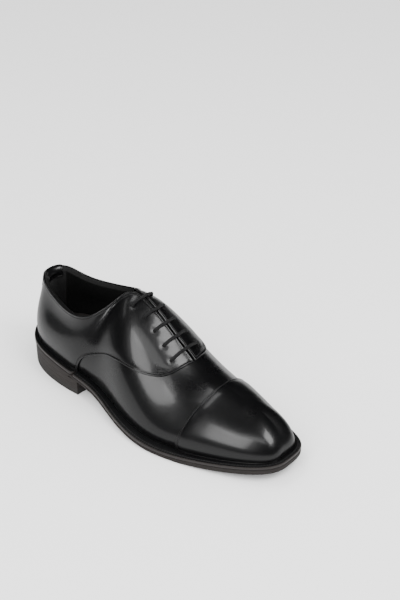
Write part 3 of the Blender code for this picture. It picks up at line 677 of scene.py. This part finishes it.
looks = {
    "cap": leatherLook("polished toe leather", {**polished, "seams": (1.9 * mm,), "coatRoughness": 0.16}),
    "vamp": leatherLook("polished vamp leather", polished),
    "quarter": leatherLook("polished quarter leather", {**polished, "seams": (2.0 * mm,)}),
    "tab": leatherLook(
        "heel tab leather",
        {**polished, "seams": (1.6 * mm,), "roughness": 0.3, "coat": 0.35, "coatRoughness": 0.16}
    ),
    "tongue": leatherLook(
        "tongue leather", {**polished, "roughness": 0.34, "coat": 0.25, "coatRoughness": 0.2, "pebble": 0.3}
    ),
    "lining": leatherLook(
        "black lining leather",
        {
            **polished, "dark": (0.004, 0.004, 0.004), "light": (0.008, 0.008, 0.0078), "roughness": 0.6,
            "ior": 1.2, "coat": 0.0, "coatRoughness": 0.3, "pebble": 0.5, "waves": 0.8, "bump": 0.0002
        }
    ),
    "sock": leatherLook(
        "sock leather",
        {
            **polished, "dark": (0.012, 0.0115, 0.011), "light": (0.022, 0.0205, 0.019), "roughness": 0.52,
            "coat": 0.0, "coatRoughness": 0.3, "pebble": 0.6, "bump": 0.0002, "rubbedAndSheen": (0.07, 0.06, 0.05)
        }
    ),
    "welt": leatherLook(
        "welt leather",
        {
            **polished, "roughness": 0.36, "coat": 0.3, "coatRoughness": 0.18, "pebble": 0.4, "wornAndSheen": 0.3,
            "side": (0.0165, 0.0138, 0.0128)
        }
    ),
    "grip": plainLook(
        "suede", "nap",
        {
            "dark": (0.004, 0.004, 0.0042), "light": (0.012, 0.012, 0.012), "roughness": (0.9, 1.0),
            "bump": 0.0003, "constants": {"IOR": 1.2, "Sheen Weight": 0.05, "Sheen Roughness": 0.5}
        }
    ),
    "edge": plainLook(
        "sole leather edge", "layers",
        {
            "dark": (0.0105, 0.0086, 0.008), "light": (0.0215, 0.0178, 0.0165), "roughness": (0.5, 0.62),
            "bump": 0.00006, "constants": {"IOR": 1.3}
        }
    ),
    "lift": plainLook(
        "stacked heel leather", "layers",
        {
            "dark": (0.0135, 0.0112, 0.0104), "light": (0.0265, 0.0222, 0.0205), "roughness": (0.5, 0.62),
            "bump": 0.00006, "constants": {"IOR": 1.3}, "effect": {"Lines": 2600.0}
        }
    ),
    "rubber": plainLook(
        "heel rubber", "nap",
        {
            "dark": (0.0115, 0.0098, 0.0092), "light": (0.0205, 0.0178, 0.0166), "roughness": (0.6, 0.8),
            "bump": 0.0001, "effect": {"Fibres": 1800.0}
        }
    ),
    "board": plainLook(
        "stiffener board", "nap",
        {"dark": (0.25, 0.18, 0.11), "light": (0.42, 0.32, 0.22), "roughness": (0.75, 0.9), "bump": 0.0002}
    ),
    "tape": plainLook(
        "stay tape", "nap",
        {
            "dark": (0.012, 0.012, 0.012), "light": (0.035, 0.035, 0.035), "roughness": (0.8, 0.95),
            "bump": 0.0002
        }
    ),
    "insole": plainLook(
        "insole leather", "grain",
        {"dark": (0.3, 0.19, 0.11), "light": (0.48, 0.33, 0.21), "roughness": (0.6, 0.75), "bump": 0.0002}
    ),
    "canvas": plainLook(
        "rib canvas", "nap",
        {"dark": (0.46, 0.42, 0.33), "light": (0.68, 0.64, 0.54), "roughness": (0.85, 0.95), "bump": 0.0003}
    ),
    "cork": plainLook(
        "cork", "nap",
        {
            "dark": (0.2, 0.11, 0.055), "light": (0.46, 0.3, 0.17), "roughness": (0.85, 0.98), "bump": 0.0005,
            "effect": {"Fibres": 700.0}
        }
    ),
    "steel": plainLook(
        "spring steel", "layers",
        {
            "dark": (0.36, 0.36, 0.37), "light": (0.55, 0.55, 0.56), "roughness": (0.25, 0.4), "bump": 0.00003,
            "constants": {"Metallic": 1.0}
        }
    ),
    "aglet": plainLook(
        "aglet plastic", "grain",
        {"dark": (0.012, 0.012, 0.012), "light": (0.02, 0.02, 0.02), "roughness": (0.2, 0.32), "bump": 0.00004}
    ),
    "thread": plainLook(
        "waxed thread", "nap",
        {
            "dark": (0.008, 0.008, 0.008), "light": (0.02, 0.02, 0.02), "roughness": (0.45, 0.6),
            "bump": 0.00008, "effect": {"Fibres": 6000.0}
        }
    ),
    "tackThread": plainLook(
        "polished thread", "nap",
        {
            "dark": (0.012, 0.012, 0.012), "light": (0.03, 0.03, 0.03), "roughness": (0.25, 0.35),
            "bump": 0.00005, "effect": {"Fibres": 6000.0}
        }
    ),
    "lace": cordLook(
        "braided cord",
        {
            "dark": (0.0012, 0.0012, 0.0013), "light": (0.0042, 0.0042, 0.0044), "strands": 8.0, "sheen": 0.02,
            "bump": 0.00022
        }
    ),
}
print("finishes made:", len(looks))


def punch(piece, side, radius=1.5 * mm):
    # Round rods through each hole, square to the leather, cut out of the piece's own mesh.
    work = bmesh.new()
    for s, t in lines["laceHoles"]:
        spot = Vector(below(s * side, t, 1.5 * mm))
        way = Vector(lastNormal(np.array(s * side), np.array(t)))
        turn = way.to_track_quat("Z", "Y").to_matrix().to_4x4()
        turn.translation = spot
        bmesh.ops.create_cone(
            work, cap_ends=True, segments=28, radius1=radius, radius2=radius, depth=10 * mm, matrix=turn
        )
    rods = bpy.data.meshes.new("punch rods")
    work.to_mesh(rods)
    work.free()
    cutter = bpy.data.objects.new("punch rods", rods)
    bpy.context.scene.collection.objects.link(cutter)
    hole = piece.modifiers.new("holes", "BOOLEAN")
    hole.operation, hole.object, hole.solver = "DIFFERENCE", cutter, "EXACT"
    ready = bpy.data.meshes.new_from_object(piece.evaluated_get(bpy.context.evaluated_depsgraph_get()))
    piece.modifiers.clear()
    piece.data = ready
    bpy.data.objects.remove(cutter)
    return piece


capSet = {"rows": 90, "columns": 131, "fold": 0.15 * mm, "seam": 1.9 * mm}
s, t = hoop(lambda u: 0 * u, capEdge, capSet["rows"], capSet["columns"], low=False)
toeCap = sheet(
    "toeCap", s, t, layers["outer"], layers["leather"], looks["cap"], ("last", "left", "right"),
    fold=capSet["fold"], lapSide="last"
)
# All the toe's sections meet in one point. Round it, the height is eased to one smooth surface:
# a polynomial of the fourth degree fitted to the leather round about.
dome = {"apex": (259.3 * mm - centre[0], -centre[1]), "near": 6 * mm, "reach": 17 * mm}
powers = [(i, j) for i in range(5) for j in range(5 - i)]
spots = np.array([v.co for v in toeCap.data.vertices])
facing = np.array([v.normal[2] for v in toeCap.data.vertices])
flatPlace = (spots[:, :2] - dome["apex"]) / dome["reach"]
away = np.linalg.norm(flatPlace, axis=1) * dome["reach"]
terms = np.stack([flatPlace[:, 0] ** i * flatPlace[:, 1] ** j for i, j in powers], -1)
for skin in (facing > 0.15, facing < -0.15):
    around = skin & (away > dome["near"]) & (away < dome["reach"])
    fit = np.linalg.lstsq(terms[around], spots[around, 2], rcond=None)[0]
    share = np.where(skin, eased((dome["reach"] * 0.85 - away) / (dome["reach"] * 0.5)), 0)
    spots[:, 2] += share * (terms @ fit - spots[:, 2])
toeCap.data.vertices.foreach_set("co", spots.astype(np.float32).ravel())
toeCap.data.update()
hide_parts("toe_cap")

vampSet = {"rows": 110, "columns": 161, "tuckCap": 0.012, "tuckQuarter": 0.006}
s, t = hoop(
    lambda u: capEdge(u) - vampSet["tuckCap"],
    lambda u: frontPlace(np.maximum(u - 0.04, 0)) + vampSet["tuckQuarter"],
    vampSet["rows"], vampSet["columns"],
)
vamp = sheet(
    "vamp", s, t, layers["under"], layers["leather"], looks["vamp"], ("first", "last", "left", "right")
)
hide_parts("vamp")
print("toe cap and vamp made")


def quarterGrid(rows, columns):
    # Heights run down the front edge; every row goes from that edge back to the seam at the heel.
    p = 1 - crowded(rows)
    frontP = np.interp(p, np.linspace(0, 1, 400), frontDense[:, 1])
    share = crowded(columns)
    edgeS = np.interp(p, np.linspace(0, 1, 400), frontDense[:, 0])
    backT = 0.5 * frontP + 0.5 * p
    backT[0], backT[-1] = 1.0, 0.0
    s = edgeS[:, None] * (1 - share) + 0.4988 * share
    t = frontP[:, None] * (1 - share) + backT[:, None] * share
    return s, t * topline(s)


quarterSet = {
    "rows": 120, "columns": 200, "fold": 0.4 * mm, "dimple": 0.35 * mm, "dimpleReach": 3.4 * mm,
    "strip": 0.5 * mm
}
stripLow = ((0.305, 0.82), (0.268, 1.0))  # the lower edge of the strip along the front of the topline


def stripRise(s, t):
    # The strip stands proud above a slanting line, and fades out where it joins the topline's fold.
    (s0, t0), (s1, t1) = stripLow
    low = t0 + (t1 - t0) * (s - s0) / (s1 - s0)
    step = np.clip((t - low) / 0.012, 0, 1) * np.clip(
        (s - 0.262) / 0.006, 0, 1
    ) * np.clip((0.335 - s) / 0.03, 0, 1)
    return -quarterSet["strip"] * step * step * (3 - 2 * step)


for side, hand in ((1, "lateral"), (-1, "medial")):
    s, t = quarterGrid(quarterSet["rows"], quarterSet["columns"])
    rise = stripRise(s, t)
    quarter = sheet(
        "quarter" + hand.title(), s * side, t, layers["outer"], layers["leather"], looks["quarter"],
        ("first", "last", "left", "right"),
        fold=quarterSet["fold"], lapSide="left",
        sink=lambda outer: rise + dimples(outer, side, quarterSet["dimpleReach"], quarterSet["dimple"]),
    )
    punch(quarter, side)
    punch(vamp, side)
    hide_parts("quarter_" + hand)
print("quarters made and punched")

liningSet = {"rows": 60, "columns": 110, "below": 0.006}


def linerDepth(s, t):
    # Along the topline the lining leans out to meet the leather.
    return layers["lining"] - eased((t - 0.962) / 0.034) * (1.2 + 2.15 * np.clip((s - 0.285) / 0.02, 0, 1)) * mm


for side, hand in ((1, "lateral"), (-1, "medial")):
    share, height = crowded(liningSet["columns"])[None], crowded(liningSet["rows"])[:, None]
    s = 0.2125 + (0.4553 - 0.2125) * share
    low = np.sqrt(np.clip((0.2525 - s) / 0.045, 0, 1)) * 0.985
    t = low * (1 - height) + (topline(s) - liningSet["below"]) * height
    lining = sheet(
        "quarterLining" + hand.title(), s * side, t, linerDepth(s, t), layers["liningThick"], looks["lining"],
        ("first", "last", "left", "right"), rounding=0.5 * mm
    )
    punch(lining, side)
    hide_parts("quarter_lining_" + hand)
s, t = hoop(lambda u: 0 * u, lambda u: 0.250 - 0.045 * u**2, 50, 91, low=False)
vampLining = sheet(
    "vampLining", s, t, layers["lining"], layers["liningThick"], looks["lining"], ("last", "left", "right"),
    rounding=0.5 * mm
)
punch(vampLining, 1)
punch(vampLining, -1)
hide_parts("vamp_lining")

gripSet = {"first": 0.4556, "last": 0.5444}
s = gripSet["first"] + (gripSet["last"] - gripSet["first"]) * crowded(60)[None]
t = (topline(s) - liningSet["below"]) * crowded(60)[:, None]
heelGrip = sheet(
    "heelGrip", s, t, linerDepth(s, t), layers["liningThick"], looks["grip"],
    ("first", "last", "left", "right"), rounding=0.5 * mm
)
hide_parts("heel_grip")

# The strip folded over the back of the topline: height up the last, depth and lift at each step of the fold.
tabSet = {
    "first": 0.466, "last": 0.534, "half": 0.4,
    "path": (
        (0.80, -1.85, 0), (0.90, -1.85, 0), (0.985, -1.85, 0), (1.0, -1.4, 0.3), (1.0, 0.0, 0.6),
        (1.0, 1.6, 0.4), (0.985, 3.4, 0), (0.95, 4.9, 0), (0.91, 5.0, 0), (0.87, 5.0, 0)
    ),
}
s = tabSet["first"] + (tabSet["last"] - tabSet["first"]) * crowded(70)
rows, settle = [], np.sqrt(np.clip((tabSet["last"] - 0.5 - np.abs(s - 0.5)) / 0.007, 0, 1))
for height, depth, lift in tabSet["path"]:
    tuck = 0.28 if depth < 0 else 0.14  # both ends of the strip are tucked in
    row = below(s, height, depth * (1 - tuck + tuck * settle) * mm)
    row[:, 2] += (lift * settle - 0.25 * (1 - settle)) * mm
    rows.append(row)
far = lengthAlong(np.array(rows)[:, 35])
middle = cubic(far, np.array(rows).reshape(len(rows), -1))(far[-1] * crowded(90)).reshape(90, 70, 3)
half = -tabSet["half"] * mm * unit(np.cross(np.gradient(middle, axis=0), np.gradient(middle, axis=1)))
heelTab = makeShell("heelTab", middle, half, looks["tab"], ("first", "last", "left", "right"), 0.5 * mm)
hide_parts("heel_tab")
print("linings, grip and heel tab made")

# The tongue: two layers under the lace that swing about their stitched end.
tongueSet = {
    "depth": 8.3 * mm, "start": 0.198, "last": 0.257, "spread": 0.28, "tail": 19 * mm, "droop": 4.5 * mm,
    "rows": 70, "columns": 61
}


def tongueGrid(depth):
    # Over the last between two sections, then straight on past the last one with its edges drooping.
    b = np.linspace(-1, 1, tongueSet["columns"])
    s = np.linspace(tongueSet["start"], tongueSet["last"], tongueSet["rows"] - 24)[:, None]
    body3 = below(s * np.where(b <= 0, 1, -1), 1 - tongueSet["spread"] * np.abs(b) + 0 * s, depth)
    share = np.linspace(0, 1, 25)[1:, None, None]
    droop = (b**2)[None, :, None] * np.array([0, 0, -tongueSet["droop"]])
    tail = body3[-1][None] + np.array([-1, 0, 0.07]) * tongueSet["tail"] * share + droop * share**1.3
    return np.concatenate([body3, tail])


for name, node, extra, thick, look in (
    ("tongueLeather", "tongue", 0.0, 1.2 * mm, looks["tongue"]),
    ("tongueLining", "tongue_lining", 1.9 * mm, 0.8 * mm, looks["lining"]),
):
    outer, inner = tongueGrid(tongueSet["depth"] + extra), tongueGrid(tongueSet["depth"] + extra + thick)
    piece = makeShell(
        name, (outer + inner) / 2, (outer - inner) / 2, look, ("first", "last", "left", "right"), 0.5 * mm,
        body="tongue"
    )
    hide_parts(node)

# The lace: straight bars on top, the runs between them hidden under the facings.
laceSet = {
    "radius": 1.32 * mm, "over": -3.0 * mm, "beside": 6.65 * mm, "rings": 900, "sides": 16, "aglet": 14 * mm
}


def laceRoute():
    over, beside, holes = laceSet["over"], laceSet["beside"], lines["laceHoles"]

    def down(row, side):
        s, t = holes[row]
        return [
            below(s * side, t + more, depth) for more,
            depth in ((0.012, over), (0, -1.0 * mm), (0, 1.4 * mm), (0, beside - 1.4 * mm))
        ]

    up = lambda row, side: down(row, side)[::-1]

    def bar(row, side):
        s, t = holes[row]
        near, far = (
            [below(s * way, t + (1 - t) * f, over - 0.1 * mm) for f in (0.25, 0.6)] for way in (side, -side)
        )
        return near + [below(s, 1.0, over)] + far[::-1]

    def run(low, high, side, out):
        (s0, t0), (s1, t1) = holes[low], holes[high]
        steps = (0.22, 0.5, 0.78) if low - high == 1 else (0.12, 0.3, 0.5, 0.7, 0.88)
        return [
            below((s0 + (s1 - s0) * f) * side, t0 + (t1 - t0) * f - out * sin(pi * f) ** 0.5, beside)
            for f in steps
        ]

    tail = lambda side, places: [below(s * side, t, beside + 0.3 * mm) for s, t in places]
    first = down(4, 1) + run(4, 3, 1, 0.0) + up(3, 1) + bar(3, 1)
    first += down(3, -1) + run(3, 1, -1, 0.05) + up(1, -1) + bar(1, -1) + down(1, 1)
    first += tail(
        1,
        (
            (0.247, 0.82), (0.250, 0.74), (0.248, 0.63), (0.238, 0.53), (0.222, 0.46), (0.204, 0.43),
            (0.186, 0.42), (0.168, 0.42), (0.150, 0.43)
        )
    )
    second = down(4, -1) + run(4, 2, -1, 0.0) + up(2, -1) + bar(2, -1)
    second += down(2, 1) + run(2, 0, 1, 0.05) + up(0, 1) + bar(0, 1) + down(0, -1)
    second += tail(
        -1,
        (
            (0.263, 0.81), (0.267, 0.72), (0.263, 0.61), (0.250, 0.51), (0.233, 0.45), (0.214, 0.42),
            (0.196, 0.41), (0.178, 0.41), (0.160, 0.42)
        )
    )
    points = np.array(first[::-1] + bar(4, 1) + second)
    length = lengthAlong(points)
    return cubic(length, points), length[-1]


route, laceLength = laceRoute()
lace = tube(
    "lace",
    route(np.linspace(laceSet["aglet"] + 0.4 * mm, laceLength - laceSet["aglet"] - 0.4 * mm, laceSet["rings"])),
    laceSet["radius"], laceSet["sides"], looks["lace"]
)
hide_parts("shoelace")
print("tongue and lace made")


def soleLayer(name, first, last, profile, look, rows=360, fill=5):
    # A level plate: a section of insets and heights carried round the outline, closed along its middle line.
    s = np.linspace(first, last, rows + 1)
    stations = profile(s)
    line = [atHeight(edgePoint(s, inset), height(edgePoint(s, inset)[:, 0])) for inset, height in stations]

    def inwards(station, share):
        inset, height = station
        xy = edgePoint(s, inset) * (1 - share / 2) + edgePoint(1 - s, inset[::-1]) * share / 2
        return atHeight(xy, height(xy[:, 0]))

    under = [inwards(stations[0], share) for share in np.linspace(1, 0, fill)[:-1]]
    over = [inwards(stations[-1], share) for share in np.linspace(0, 1, fill)[1:]]
    points = np.stack(under + line + over, 1) - centre
    faces = gridFaces(*points.shape[:2]).tolist()
    # a layer that ends at the breast gets a front face on each side of the middle
    if abs(last - first - 1) > 1e-6:
        n = points.shape[1]
        faces += [list(range(n)), [rows * n + j for j in range(n)][::-1]]
    return makeMesh(name, points, faces, look, weld=2e-6)


def roundedEdge(inset, top, under, radius, steps=4, bow=0.0):
    # A side wall with quarter rounds at its lower and upper corners, bowed out a little between them.
    def profile(s):
        rows = []
        for angle in np.linspace(0, pi / 2, steps):
            rows.append(
                (inset(s) + radius * (1 - sin(angle)), lambda x, a=angle: under(x) + radius * (1 - cos(a)))
            )
        for share in (0.25, 0.5, 0.75):
            rows.append((inset(s) - bow * sin(pi * share), lambda x, f=share: under(x) * (1 - f) + top(x) * f))
        for angle in np.linspace(pi / 2, 0, steps):
            rows.append(
                (inset(s) + radius * (1 - sin(angle)), lambda x, a=angle: top(x) - radius * (1 - cos(a)))
            )
        return rows

    return profile


bottomSet = {"weltThick": 2.6 * mm, "gap": 0.3 * mm, "wheelPitch": 2.4 * mm, "wheelDepth": 0.22 * mm}
flat = lambda height: lambda x: 0 * x + height
level = lambda inset: lambda s: 0 * s + inset
footInset = lambda extra: lambda s: ring(s)[..., 2] + extra

outsole = soleLayer(
    "outsole", 0, 1,
    roundedEdge(
        level(0.15 * mm), lambda x: weltTop(x) - bottomSet["weltThick"] - bottomSet["gap"], soleUnder, 0.7 * mm,
        bow=0.15 * mm
    ),
    looks["edge"]
)
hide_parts("outsole")
heelFront = lines["breast"] + 0.001
liftSet = (
    ("topPiece", "top_piece", heelFront, 0.0, 5.65, "rubber", "heel_rubber"),
    ("heelLift1", "heel_lift_1", heelFront, 5.75, 10.4, "lift", "sole_leather"),
    ("heelLift2", "heel_lift_2", heelFront, 10.5, 15.1, "lift", "sole_leather"),
    ("heelLift3", "heel_lift_3", lines["wedgeEnd"], 15.2, 30.0, "lift", "sole_leather"),
)
for name, node, front, low, high, look, slotName in liftSet:
    top = lambda x: np.minimum(high * mm, soleUnder(x) - 0.1 * mm)
    lift = soleLayer(
        name, front, 1 - front, roundedEdge(level(0.6 * mm), top, flat(low * mm), 0.15 * mm, steps=3),
        looks[look], rows=160
    )
    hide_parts(node)
sockLiner = soleLayer(
    "sockLiner", 0, 1,
    roundedEdge(
        footInset(5.0 * mm), lambda x: weltTop(x) + 4.2 * mm, lambda x: weltTop(x) + 3.2 * mm, 0.35 * mm,
        steps=3
    ),
    looks["sock"], rows=240, fill=12
)
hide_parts("sock_liner")


def weltRow(name, first, last, rows, wheel, look, roundTip=0.0):
    # A band round the outline; wheel marks press short ridges into its outer half.
    s = np.linspace(first, last, rows + 1)
    outline = ring(s)[:, :2]
    length = lengthAlong(outline)
    inner = ring(s)[:, 2] + 2.5 * mm
    thick = bottomSet["weltThick"]
    ends = np.minimum(length, length[-1] - length)
    trim = np.zeros_like(s) if not roundTip else roundTip * (
        1 - np.sqrt(np.clip(1 - (1 - np.clip(ends / roundTip, 0, 1)) ** 2, 0, 1))
    )
    ridge = wheel * (0.5 - 0.5 * np.cos(2 * pi * length / bottomSet["wheelPitch"])) ** 2
    r, under = 0.6 * mm, weltTop
    stations = [
        (0.6 * mm, -thick), (0.18 * mm, -thick + 0.18 * mm), (0, -thick + r), (0, -r), (0.18 * mm, -0.18 * mm),
        (0.7 * mm, 0)
    ]
    stations += [(f, 0) for f in (1.4 * mm, 2.1 * mm, 2.8 * mm, 3.6 * mm, 4.4 * mm)]
    loop = []
    for k, (inset, drop) in enumerate(stations):
        xy = edgePoint(s, np.minimum(inset + trim, inner))
        z = weltTop(xy[:, 0]) + drop
        z = z - ridge * (1.0 if k in (5, 6, 7) else 0.5 if k in (4, 8) else 0.0)
        loop.append(atHeight(xy, z) - centre)
    for drop in (0, -thick):
        xy = edgePoint(s, inner)
        loop.append(atHeight(xy, weltTop(xy[:, 0]) + drop) - centre)
    points = np.stack(loop + [loop[0]], 1)
    n = points.shape[1]
    faces = gridFaces(*points.shape[:2]).tolist() + [
        list(range(n - 1)), [rows * n + j for j in range(n - 1)][::-1]
    ]
    rim = np.broadcast_to(
        np.array([inset for inset, drop in stations] + [0.009, 0.009, stations[0][0]])[None], points.shape[:2]
    )
    return makeMesh(name, points, faces, look, attributes={"rim": rim})


welt = weltRow("welt", -lines["weltEnd"], lines["weltEnd"], 1500, bottomSet["wheelDepth"], looks["welt"])
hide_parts("welt")
rand = weltRow(
    "heelSeatRand", lines["randEnd"], 1 - lines["randEnd"], 300, 0.0, looks["welt"], roundTip=4.2 * mm
)
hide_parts("heel_seat_rand")
print("bottom made")

# The rows of threads: how far each lies from its edge, and the strip's two ends as places over the last.
seamSet = {
    "depth": layers["outer"] - 0.02 * mm, "front": 1.9 * mm, "throat": (3.2 * mm, 4.2 * mm), "cap": 0.0022,
    "topline": 0.0215, "strip": (((0.315, 0.93), (0.283, 1.0)), stripLow), "welt": 2.9 * mm,
}
bothSides = lambda s, t, depth: [overLast(s * side, t, depth) for side in (1, -1)]


def besideFront(first, last, count, offset):
    # Along the front edge of the quarters, between two shares of its length.
    edge = frontLine(np.linspace(first, last, count))
    return bothSides(*shifted(edge[:, 0], edge[:, 1], offset), seamSet["depth"] - 0.1 * mm + lapBend(offset))


stitches("frontSeam", besideFront(0.02, 0.985, 260, seamSet["front"]), looks["thread"])
tackThread = {**threadSet, "pitch": 1.0 * mm, "length": 0.9 * mm, "radius": 0.3 * mm}
tackRows = [row for offset in seamSet["throat"] for row in besideFront(0.8, 0.93, 60, offset)]
stitches("throatTack", tackRows, looks["tackThread"], tackThread)
u = np.linspace(0.02, 1, 120)
stitches(
    "capSeam", bothSides(capEdge(u) - seamSet["cap"], u, seamSet["depth"] + lapBend(1.8 * mm)), looks["thread"]
)
s = np.linspace(0.203, 0.4665, 500)
stitches(
    "toplineSeam", bothSides(s, topline(s) - seamSet["topline"], seamSet["depth"] - 0.1 * mm), looks["thread"]
)
share, stripRows = np.linspace(0.04, 0.92, 60), []
for (s0, t0), (s1, t1) in seamSet["strip"]:
    stripRows += bothSides(s0 * (1 - share) + s1 * share, t0 * (1 - share) + t1 * share, seamSet["depth"])
stitches("stripSeam", stripRows, looks["thread"])
s = np.linspace(-lines["weltEnd"] + 0.003, lines["weltEnd"] - 0.003, 1200)
xy = edgePoint(s, 0 * s + seamSet["welt"])
weltLine = atHeight(xy, weltTop(xy[:, 0])) - centre
weltThread = {**threadSet, "pitch": 2.4 * mm, "length": 1.9 * mm, "radius": 0.33 * mm}
stitches(
    "weltSeam", [(weltLine, np.broadcast_to(np.array([0, 0, 1.0]), weltLine.shape))], looks["thread"],
    weltThread
)
print("seams sewn")

# Pieces that keep their own shape get their finish.
kept = {
    "toe_puff": "board", "heel_counter": "board", "facing_stay_lateral": "tape", "facing_stay_medial": "tape",
    "insole": "insole",
    "rib_strip": "canvas", "cork_filler": "cork", "shank": "steel", "aglet_lateral": "aglet",
    "aglet_medial": "aglet",
    **{"heel_nail_" + str(k): "steel" for k in (1, 2, 3, 4)},
}
for node, look in kept.items():
    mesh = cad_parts[node].data
    mesh.materials.clear()
    mesh.materials.append(looks[look])

# Painted reflection: where the polish mirrors the floor, the floor is painted darker, a painted shade in the
# leather's reflections.
floorSet = {"half": 3.0, "colour": (0.86, 0.86, 0.86), "mirrored": (0.42, 0.42, 0.42)}
floorLook, floorTree, floorShader, floorPlace = newLook("pale floor", {"Roughness": 0.9})
tint = spread(floorTree, noise(floorTree, floorPlace, 30.0, 2.0), 0.3, 0.7)
pale = mixColour(floorTree, tint, tuple(c * 0.995 for c in floorSet["colour"]), floorSet["colour"])
seenInPolish = put(floorTree, "ShaderNodeLightPath").outputs["Is Glossy Ray"]
join(
    floorTree, mixColour(floorTree, seenInPolish, pale, floorSet["mirrored"]), floorShader.inputs["Base Color"]
)
h = floorSet["half"]
floor = makeMesh(
    "floor", [(-h, -h, 0), (h, -h, 0), (h, h, 0), (-h, h, 0)], [(0, 1, 2, 3)], floorLook, body=None, turn=False,
    weld=0
)

world = bpy.data.worlds.new("studio")
world.use_nodes = True
# An even room lights everything but isn't mirrored in the polish, so that only the lamps show there.
roomSet = {"Color": (1, 1, 1, 1), "Strength": 1.9}
for key, setting in roomSet.items():
    world.node_tree.nodes["Background"].inputs[key].default_value = setting
world.cycles_visibility.glossy = False
bpy.context.scene.world = world

# azimuth from straight out of the outer side towards the toe, elevation, distance, width, height, strength
lamps = {
    "toe softbox": (101, 54, 1.4, 0.62, 0.7, 16.0),
    "side strip": (6, 36, 1.4, 0.5, 0.85, 11.0),
    "side band": (30, 56, 1.4, 0.95, 0.26, 3.0),
    "heel softbox": (-62, 42, 1.4, 0.6, 0.2, 0.6),
    "top band": (-92, 66, 1.4, 0.85, 0.3, 3.5),
}
for name, (azimuth, elevation, distance, wide, tall, power) in lamps.items():
    lamp = bpy.data.lights.new(name, "AREA")
    lamp.shape, lamp.size, lamp.size_y, lamp.energy = "RECTANGLE", wide, tall, power
    holder = bpy.data.objects.new(name, lamp)
    a, e = radians(azimuth), radians(elevation)
    way = Vector((sin(a) * cos(e), -cos(a) * cos(e), sin(e)))
    holder.location = way * distance + Vector((0.02, 0, 0.04))
    holder.rotation_euler = way.to_track_quat("Z", "Y").to_euler()
    bpy.context.scene.collection.objects.link(holder)

cameraSet = {"azimuth": 41.36, "elevation": 31.13, "place": (0.5188, -0.5317, 0.5519), "lens": 61.33}
camera = bpy.data.objects.new("camera", bpy.data.cameras.new("camera"))
a, e = radians(cameraSet["azimuth"]), radians(cameraSet["elevation"])
camera.location = cameraSet["place"]
camera.rotation_euler = Vector((sin(a) * cos(e), -cos(a) * cos(e), sin(e))).to_track_quat("Z", "Y").to_euler()
camera.data.lens, camera.data.sensor_width, camera.data.clip_start = cameraSet["lens"], 36.0, 0.01
bpy.context.scene.collection.objects.link(camera)
bpy.context.scene.camera = camera

print("scene ready")
